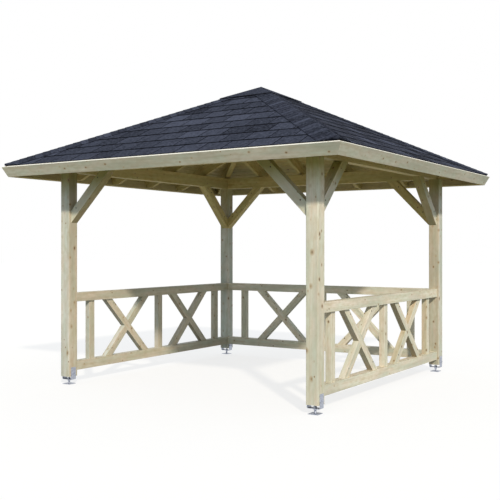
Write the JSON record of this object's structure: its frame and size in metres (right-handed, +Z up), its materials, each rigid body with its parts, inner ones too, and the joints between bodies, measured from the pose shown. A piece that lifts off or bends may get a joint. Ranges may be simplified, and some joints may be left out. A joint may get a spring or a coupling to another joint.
{
  "type": "garden gazebo",
  "caption": "Square open garden gazebo: timber posts, beams and knee braces on adjustable steel feet, crossed-bar railings round an open front, hipped shingle roof.",
  "frame": {"origin": "on the ground at the middle of the plan", "axes": "+Z up, +X to the right along the open front, +Y towards the back railing"},
  "size_m": [4.096, 4.096, 3.3779],
  "materials": {
    "planed_spruce": "planed, untreated",
    "bitumen_shingle": "mineral granules on bitumen felt",
    "galvanised_steel": "hot-dip galvanised"
  },
  "bodies": {
    "root": {"post_front_left": "planed_spruce", "post_front_right": "planed_spruce", "post_back_left": "planed_spruce", "post_back_right": "planed_spruce", "foot_front_left": "galvanised_steel", "foot_front_right": "galvanised_steel", "foot_back_left": "galvanised_steel", "foot_back_right": "galvanised_steel", "beam_front": "planed_spruce", "beam_right": "planed_spruce", "beam_back": "planed_spruce", "beam_left": "planed_spruce", "braces_front": "planed_spruce", "braces_right": "planed_spruce", "braces_back": "planed_spruce", "braces_left": "planed_spruce", "hip_front_left": "planed_spruce", "hip_front_right": "planed_spruce", "hip_back_left": "planed_spruce", "hip_back_right": "planed_spruce", "jacks_front": "planed_spruce", "jacks_right": "planed_spruce", "jacks_back": "planed_spruce", "jacks_left": "planed_spruce", "deck_front": "planed_spruce", "deck_right": "planed_spruce", "deck_back": "planed_spruce", "deck_left": "planed_spruce", "shingles_front": "bitumen_shingle", "shingles_right": "bitumen_shingle", "shingles_back": "bitumen_shingle", "shingles_left": "bitumen_shingle", "hip_caps": "bitumen_shingle", "peak_cap": "bitumen_shingle", "fascia_front": "planed_spruce", "fascia_right": "planed_spruce", "fascia_back": "planed_spruce", "fascia_left": "planed_spruce", "rails_right": "planed_spruce", "rails_back": "planed_spruce", "rails_left": "planed_spruce", "uprights_right": "planed_spruce", "uprights_back": "planed_spruce", "uprights_left": "planed_spruce", "rising_bars_right": "planed_spruce", "rising_bars_back": "planed_spruce", "rising_bars_left": "planed_spruce", "falling_bars_right": "planed_spruce", "falling_bars_back": "planed_spruce", "falling_bars_left": "planed_spruce"}
  },
  "joints": []
}
